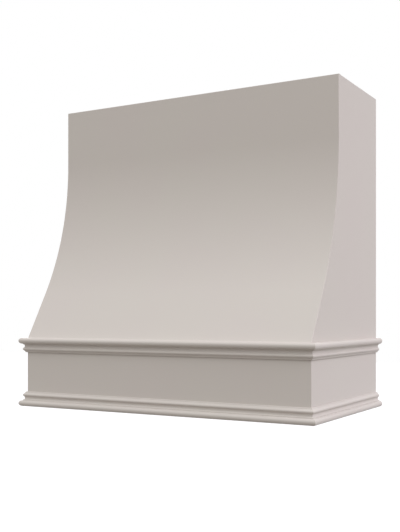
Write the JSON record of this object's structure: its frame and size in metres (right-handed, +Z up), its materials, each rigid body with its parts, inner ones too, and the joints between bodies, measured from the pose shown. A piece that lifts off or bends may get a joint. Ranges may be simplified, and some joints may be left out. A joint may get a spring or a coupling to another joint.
{
  "type": "wooden range hood cover",
  "caption": "Painted wooden range hood cover with a hollow-curved front, a moulded band at its foot and an open top, back and floor cut-out, hung on a bevelled wall cleat.",
  "frame": {"origin": "middle of the wall cleat's back face, which lies on the wall; the foot of the cover is 734.3 mm below it", "axes": "+X to the cover's right as seen by someone facing the wall, +Y into the wall, +Z up; the front faces -Y"},
  "size_m": [0.9518, 0.5169, 0.914],
  "materials": {
    "painted_wood": "satin paint, warm light grey",
    "birch_plywood": "bare, sanded",
    "pine": "bare, planed",
    "zinc_plated_steel": "zinc plated"
  },
  "bodies": {
    "wall_cleat": {"wall_cleat": "pine"},
    "cover": {"curved_front_panel": "painted_wood", "apron_board": "painted_wood", "left_side_panel": "painted_wood", "right_side_panel": "painted_wood", "upper_moulding_front": "painted_wood", "upper_moulding_left": "painted_wood", "upper_moulding_right": "painted_wood", "lower_moulding_front": "painted_wood", "lower_moulding_left": "painted_wood", "lower_moulding_right": "painted_wood", "insert_panel": "birch_plywood", "left_rib": "birch_plywood", "right_rib": "birch_plywood", "hanging_rail": "pine", "lower_back_rail": "pine", "skin_base_rail": "pine", "top_front_rail": "pine", "front_strip": "pine", "rear_strip": "pine", "left_strip": "pine", "right_strip": "pine", "left_front_block": "pine", "right_front_block": "pine", "left_rear_block": "pine", "right_rear_block": "pine", "left_angle_bracket": "zinc_plated_steel", "right_angle_bracket": "zinc_plated_steel", "front_strip_screw_1": "zinc_plated_steel", "front_strip_screw_2": "zinc_plated_steel", "front_strip_screw_3": "zinc_plated_steel", "rear_strip_screw_1": "zinc_plated_steel", "rear_strip_screw_2": "zinc_plated_steel", "rear_strip_screw_3": "zinc_plated_steel", "left_strip_screw_1": "zinc_plated_steel", "left_strip_screw_2": "zinc_plated_steel", "right_strip_screw_1": "zinc_plated_steel", "right_strip_screw_2": "zinc_plated_steel", "floor_screw_1": "zinc_plated_steel", "floor_screw_2": "zinc_plated_steel", "floor_screw_3": "zinc_plated_steel", "floor_screw_4": "zinc_plated_steel", "floor_screw_5": "zinc_plated_steel", "floor_screw_6": "zinc_plated_steel", "floor_screw_7": "zinc_plated_steel", "floor_screw_8": "zinc_plated_steel", "left_bracket_screw_1": "zinc_plated_steel", "left_bracket_screw_2": "zinc_plated_steel", "left_bracket_screw_3": "zinc_plated_steel", "left_bracket_screw_4": "zinc_plated_steel", "right_bracket_screw_1": "zinc_plated_steel", "right_bracket_screw_2": "zinc_plated_steel", "right_bracket_screw_3": "zinc_plated_steel", "right_bracket_screw_4": "zinc_plated_steel"}
  },
  "joints": [
    {"name": "cover_lift", "type": "slide", "parent": "wall_cleat", "child": "cover", "axis": [0, 0, 1], "range_m": [0, 0.04]}
  ]
}
